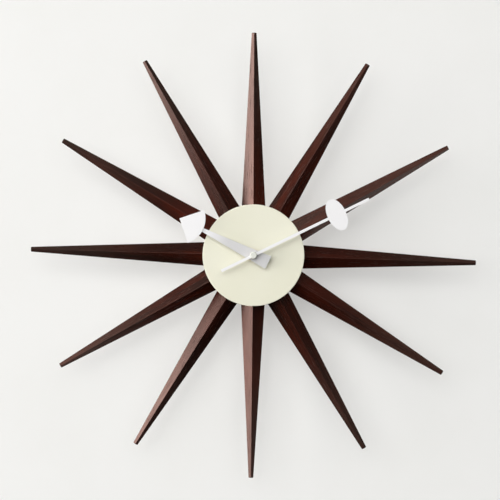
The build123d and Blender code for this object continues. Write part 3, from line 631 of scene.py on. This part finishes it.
# rays: tapered rhombic blades with worn ridges, cut to the drum and drilled for two screws
ray = {
    # degrees off true and about the ray's own length, clockwise from twelve o'clock
    "strays": [-0.85, -0.1, 0.0, 0.9, 0.9, -0.9, -0.4, 1.0, -0.8, 0.5, 0.0, -0.3],
    "rolls": [0, 0, 15, 0, 0, 0, 0, 0, -7, 0, 0, 0],
    "root": 0.04365,  # from the hand axis, inside the drum
    "tip": 0.23499,
    "out": 0.030,  # middle of the section, from the wall
    "rootWidth": 0.02626,
    "rootDepth": 0.02080,
    "tipWidth": 0.0052,
    "longEdge": 0.1,  # an edge longer than this runs from root to tip
    "ridge": 3,  # how much of each face the round ridge takes, in percent
    "ridgeSteps": 4,
    "side": 3,
    "sideSteps": 3,
    # length and narrowing of each step of the rounded end
    "tipSteps": [(0.00025, 0.93), (0.00015, 0.92), (0.0001, 0.92)],
    "drum": 0.05165,  # radius
    "drumSides": 256,
    "drumRear": 0.001,
    "drumFront": -0.060,
    "pilot": 0.0018,  # radius of the screw holes
    "pilotSides": 32,
    "pilotStart": 0.040,
    "pilotEnd": 0.07103,
    "pilotSpacing": 0.010,
}


def bevelLong(piece, chosen, percent, steps):  # the long edges whose two ends chosen picks
    mesh = readyToPick(piece, "EDGE")
    for edge in mesh.edges:
        ends = [mesh.vertices[number].co for number in edge.vertices]
        isLong = (ends[0] - ends[1]).length > ray["longEdge"]
        edge.select = isLong and all(chosen(end) for end in ends)
    bpy.ops.object.mode_set(mode="EDIT")
    bpy.ops.mesh.bevel(
        offset_type="PERCENT", offset_pct=percent, segments=steps, profile=0.5, affect="EDGES"
    )
    bpy.ops.object.mode_set(mode="OBJECT")


def makeRayBlank():
    size = ray
    end = size["tip"] - sum(step for step, narrow in size["tipSteps"])
    clearSelection()
    bpy.ops.mesh.primitive_cone_add(
        vertices=4,
        radius1=size["rootWidth"] / 2,
        radius2=size["tipWidth"] / 2,
        depth=end - size["root"],
        location=(0, -size["out"], (end + size["root"]) / 2),
    )
    blank = applyPlace(bpy.context.active_object)
    resizePart(blank, lambda place: True, (1, size["rootDepth"] / size["rootWidth"], 1))
    near = bench["near"]
    bevelLong(blank, lambda place: abs(place.x) < near, size["ridge"], size["ridgeSteps"])
    bevelLong(blank, lambda place: abs(place.y + size["out"]) < near, size["side"], size["sideSteps"])
    for face in readyToPick(blank, "FACE").polygons:
        face.select = face.normal.z > bench["facing"]
    bpy.ops.object.mode_set(mode="EDIT")
    for step, narrow in size["tipSteps"]:
        bpy.ops.mesh.extrude_region_move(TRANSFORM_OT_translate={"value": (0, 0, step)})
        bpy.ops.transform.resize(value=(narrow, narrow, 1))
    bpy.ops.object.mode_set(mode="OBJECT")
    return blank


def drillPilots(blade):
    size = ray
    start, end = size["pilotStart"], size["pilotEnd"]
    for side in (-0.5, 0.5):
        clearSelection()
        bpy.ops.mesh.primitive_cylinder_add(
            vertices=size["pilotSides"],
            radius=size["pilot"],
            depth=end - start,
            location=(0, side * size["pilotSpacing"] - size["out"], (end + start) / 2),
        )
        combine(blade, applyPlace(bpy.context.active_object), "DIFFERENCE")


def makeRays():
    size = ray
    blank = makeRayBlank()
    for index in range(rayCount):
        blade = blank.copy()
        blade.data = blank.data.copy()
        bpy.context.collection.objects.link(blade)
        # rolled about its own middle line before it is cut to the drum
        blade.matrix_world = (
            Matrix.Translation((0, -size["out"], 0))
            @ Matrix.Rotation(math.radians(size["rolls"][index]), 4, "Z")
            @ Matrix.Translation((0, size["out"], 0))
        )
        applyPlace(blade)
        drum = discAt(size["drum"], size["drumRear"], size["drumFront"], size["drumSides"])
        combine(blade, drum, "DIFFERENCE")
        drillPilots(blade)
        number = "%02d" % (index + 1)
        finishPiece(
            blade, "rayBlade" + number, "root", rayFinish(index), ["ray_" + number],
            rayStep * index + size["strays"][index],
        )
    bpy.data.objects.remove(blank, do_unlink=True)


# coil: turns of wire laid side by side on the bobbin
coil = {"wire": 0.0004, "ringSides": 56, "wireSides": 6}  # wire is its thickness


def makeCoil(material):
    low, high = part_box("coil_winding")
    radius = (high.z - low.z) / 2
    middle = (low + high) / 2
    turns = int((high.x - low.x) / coil["wire"])
    clearSelection()
    bpy.ops.mesh.primitive_torus_add(
        major_radius=radius - coil["wire"] / 2,
        minor_radius=coil["wire"] / 2,
        major_segments=coil["ringSides"],
        minor_segments=coil["wireSides"],
        location=(low.x + coil["wire"] / 2, middle.y, middle.z),
        rotation=(0, math.pi / 2, 0),
    )
    winding = applyPlace(bpy.context.active_object)
    lay = winding.modifiers.new("lay", "ARRAY")
    lay.count = turns
    lay.use_relative_offset = False
    lay.use_constant_offset = True
    lay.constant_offset_displace = ((high.x - low.x - coil["wire"]) / (turns - 1), 0, 0)
    bpy.ops.object.modifier_apply(modifier=lay.name)
    finishPiece(winding, "coilTurns", "root", material, ["coil_winding"])


makeRays()
print("rays made")

handWhite = lacquerFinish("handWhite", paint(252, 252, 253), paint(248, 248, 250), 0.36, 0.00002, 1500)
capWhite = lacquerFinish("capWhite", paint(236, 238, 230), paint(229, 232, 223), 0.22, 0.00001, 1800)
makeDial(dialFinish())
makeHourArm(armFinish())
makeHourFan(handWhite)
makeMinuteHand(handWhite)
makeCapNut(capWhite)
print("dial and hands made")

dress(
    lacquerFinish("drumLacquer", paint(230, 228, 212), paint(224, 221, 204), 0.42, 0.00003, 700),
    "hub_drum",
)
dress(feltFinish(), "wall_pad")
dress(
    platedFinish("zincSteel", paint(190, 192, 194), paint(168, 172, 178), 0.34, (1, 1, 0.06)),
    "hanger_strap", "ray_screws",
)
dress(
    platedFinish("brightSteel", paint(206, 207, 208), paint(180, 182, 186), 0.22, (1, 0.08, 1)),
    "hanger_rivets", "cover_screws", "clutch_spring",
)
dress(
    platedFinish("brassTurned", paint(214, 178, 96), paint(190, 150, 74), 0.24, (1, 0.08, 1)),
    "dial_washer", "dial_nut", "hour_collet", "minute_bush", "cannon_arbor", "hour_wheel",
)
dress(
    mouldedFinish("caseBlack", paint(30, 30, 31), paint(36, 36, 38), 0.46),
    "movement_front_case", "movement_cover", "setting_knob",
)
dress(
    mouldedFinish("gasketRubber", paint(26, 26, 26), paint(34, 33, 32), 0.7, 0.00008, 1200),
    "rubber_gasket",
)
dress(mouldedFinish("plateGrey", paint(160, 162, 164), paint(152, 154, 156), 0.5), "train_plate")
dress(
    mouldedFinish("wheelWhite", paint(226, 224, 214), paint(234, 233, 226), 0.38, 0.00002),
    "rotor_pinion", "step_wheel", "third_wheel", "minute_wheel", "setting_stem",
)
dress(
    mouldedFinish("wheelBlue", paint(136, 170, 206), paint(126, 160, 198), 0.38, 0.00002),
    "seconds_wheel", "centre_wheel",
)
dress(
    mouldedFinish("magnetGrey", paint(86, 86, 90), paint(94, 94, 97), 0.42, 0.00005, 900),
    "rotor_magnet",
)
dress(
    platedFinish("softIron", paint(188, 188, 191), paint(170, 169, 168), 0.36, (0.06, 1, 1)),
    "stator_plate", "coil_core",
)
makeCoil(copperFinish())
dress(mouldedFinish("bobbinNatural", paint(226, 221, 204), paint(219, 213, 194), 0.44), "coil_bobbin")
dress(boardFinish(), "circuit_board")
dress(
    platedFinish("crystalCan", paint(224, 224, 226), paint(206, 208, 212), 0.2, (0.08, 1, 1)),
    "quartz_crystal",
)
dress(
    mouldedFinish("chipResin", paint(18, 18, 19), paint(28, 28, 29), 0.34, 0.00003, 700),
    "driver_chip",
)
dress(
    platedFinish("contactNickel", paint(220, 218, 211), paint(200, 197, 189), 0.26, (1, 1, 0.08)),
    "positive_contact", "negative_contact",
)
dress(
    platedFinish("cellSteel", paint(214, 214, 215), paint(194, 196, 199), 0.26, (0.08, 1, 1)),
    "battery_can", "battery_cap",
)
dress(sleeveFinish(), "battery_sleeve")
print("finishes given to the rest of the nodes")


# the wall that the clock hangs on, and the light round it
stand = {
    "wallWidth": 8.0,
    "wallGap": 0.0006,  # behind the felt
    "wall": paint(246, 246, 244),
    "mottle": paint(243, 243, 240),
    "plain": 0.96,  # strength of the plain colour
    "plainShare": 0.48,  # how much of it is seen
    "sky": paint(246, 246, 244),
    "skyLow": -0.5,  # the room brightens from this height to the next, up a sphere of radius one
    "skyHigh": 0.9,
    "skyDown": 0.03,
    "skyUp": 0.15,
    "skySeen": 1.0,  # strength as the camera sees it
}

clearSelection()
bpy.ops.mesh.primitive_plane_add(
    size=stand["wallWidth"], location=(0, stand["wallGap"], 0), rotation=(math.pi / 2, 0, 0)
)
wall = bpy.context.active_object
wall.name = "wallBackdrop"
bpy.ops.object.transform_apply(location=True, rotation=True, scale=True)
wall.visible_shadow = False

look = Finish("wallPlaster", Specular_IOR_Level=0.1)
mottle = look.noise(look.place(), 9, 4, 0.55)
look.feed(
    "Base Color", look.blend(look.between(mottle, 0.35, 0.7), stand["wall"], stand["mottle"])
)
look.feed("Roughness", look.between(mottle, 0.3, 0.7, 0.85, 0.95))
look.bump(look.noise(look.place(), 160, 4, 0.6), 0.0002, 0.12)
seeThrough = look.node("ShaderNodeBsdfTransparent")  # from behind, so that the back can be looked at
behind = look.node("ShaderNodeNewGeometry", out="Backfacing")
skin = Signal(look, look.shader.outputs[0])
# to the camera and in gloss the wall is partly its plain colour, which keeps its shadows light
glow = look.node("ShaderNodeEmission", {}, {"Color": stand["wall"], "Strength": stand["plain"]})
watched = look.node("ShaderNodeLightPath", out="Is Camera Ray")
mirrored = look.node("ShaderNodeLightPath", out="Is Glossy Ray")
through = look.node("ShaderNodeLightPath", out="Is Transmission Ray")
share = (watched + mirrored + through) * stand["plainShare"]
skin = look.node("ShaderNodeMixShader", {}, {0: share, 1: skin, 2: glow})
front = look.node("ShaderNodeMixShader", {}, {0: behind, 1: skin, 2: seeThrough})
look.tree.links.new(front.socket, look.tree.nodes["Material Output"].inputs["Surface"])
wall.data.materials.append(look.material)

world = bpy.data.worlds.new("studio")
bpy.context.scene.world = world
world.use_nodes = True
room = world.node_tree


def roomNode(kind, values=None):
    made = room.nodes.new(kind)
    for key, value in (values or {}).items():
        made.inputs[key].default_value = value
    return made


direction = roomNode("ShaderNodeTexCoord")
split = roomNode("ShaderNodeSeparateXYZ")
climb = roomNode(
    "ShaderNodeMapRange",
    {1: stand["skyLow"], 2: stand["skyHigh"], 3: stand["skyDown"], 4: stand["skyUp"]},
)
seen = roomNode("ShaderNodeLightPath")
level = roomNode("ShaderNodeMix", {3: stand["skySeen"]})
sky = room.nodes["Background"]
sky.inputs["Color"].default_value = stand["sky"]
room.links.new(direction.outputs["Generated"], split.inputs[0])
room.links.new(split.outputs["Z"], climb.inputs[0])
room.links.new(seen.outputs["Is Camera Ray"], level.inputs[0])
room.links.new(climb.outputs[0], level.inputs[2])
room.links.new(level.outputs[0], sky.inputs["Strength"])


def lamp(name, place, aim, width, height, power, colour):
    bpy.ops.object.light_add(type="AREA", location=place)
    made = bpy.context.active_object
    made.name = name
    made.data.shape = "RECTANGLE"
    made.data.size = width
    made.data.size_y = height
    made.data.energy = power
    made.data.color = colour
    made.rotation_euler = (Vector(aim) - Vector(place)).to_track_quat("-Z", "Y").to_euler()
    made.visible_camera = False


# name, place, aim, width, height, watts, colour
lamp("keyLamp", (2.00, -4.30, -0.30), (0, 0, 0), 1.8, 1.8, 12, (1.0, 1.0, 0.995))
lamp("skylightLamp", (-2.70, -4.10, 1.60), (0, 0, 0), 4.4, 4.4, 198, (1.0, 0.995, 0.985))
lamp("ceilingLamp", (0.60, -3.90, 2.00), (0, 0, 0), 4.0, 2.2, 44, (1.0, 0.995, 0.97))
lamp("windowLamp", (-2.90, -0.72, 0.14), (0, -0.03, 0.02), 1.12, 2.1, 72, (1.0, 0.96, 0.94))
lamp("backLamp", (0.5, 2.0, 0.8), (0, 0, 0), 1.2, 1.2, 52, (1.0, 1.0, 1.0))

# camera, square to the wall
shot = {
    "distance": 2.0,  # from the wall
    "sensor": 36.0,
    "planeOut": 0.030,  # where the frame is measured
    "frameWidth": 0.5281,
    "roll": 1.05,  # degrees
    "right": 0.00360,  # hand axis from the middle of the frame
    "down": 0.0055,
}

bpy.ops.object.camera_add()
camera = bpy.context.active_object
camera.name = "studioCamera"
camera.data.sensor_width = shot["sensor"]
camera.data.lens = shot["sensor"] * (shot["distance"] - shot["planeOut"]) / shot["frameWidth"]
camera.data.clip_start = 0.05
camera.data.clip_end = 50.0
roll = math.radians(shot["roll"])
sideways = Vector((math.cos(roll), 0, math.sin(roll)))
upward = Vector((-math.sin(roll), 0, math.cos(roll)))
centre = upward * shot["down"] - sideways * shot["right"]
camera.matrix_world = Matrix((
    (sideways.x, upward.x, 0, centre.x),
    (0, 0, -1, -shot["distance"]),
    (sideways.z, upward.z, 0, centre.z),
    (0, 0, 0, 1),
))
bpy.context.scene.camera = camera
bpy.context.scene.view_settings.view_transform = "Standard"
print("wall, lamps and camera set")
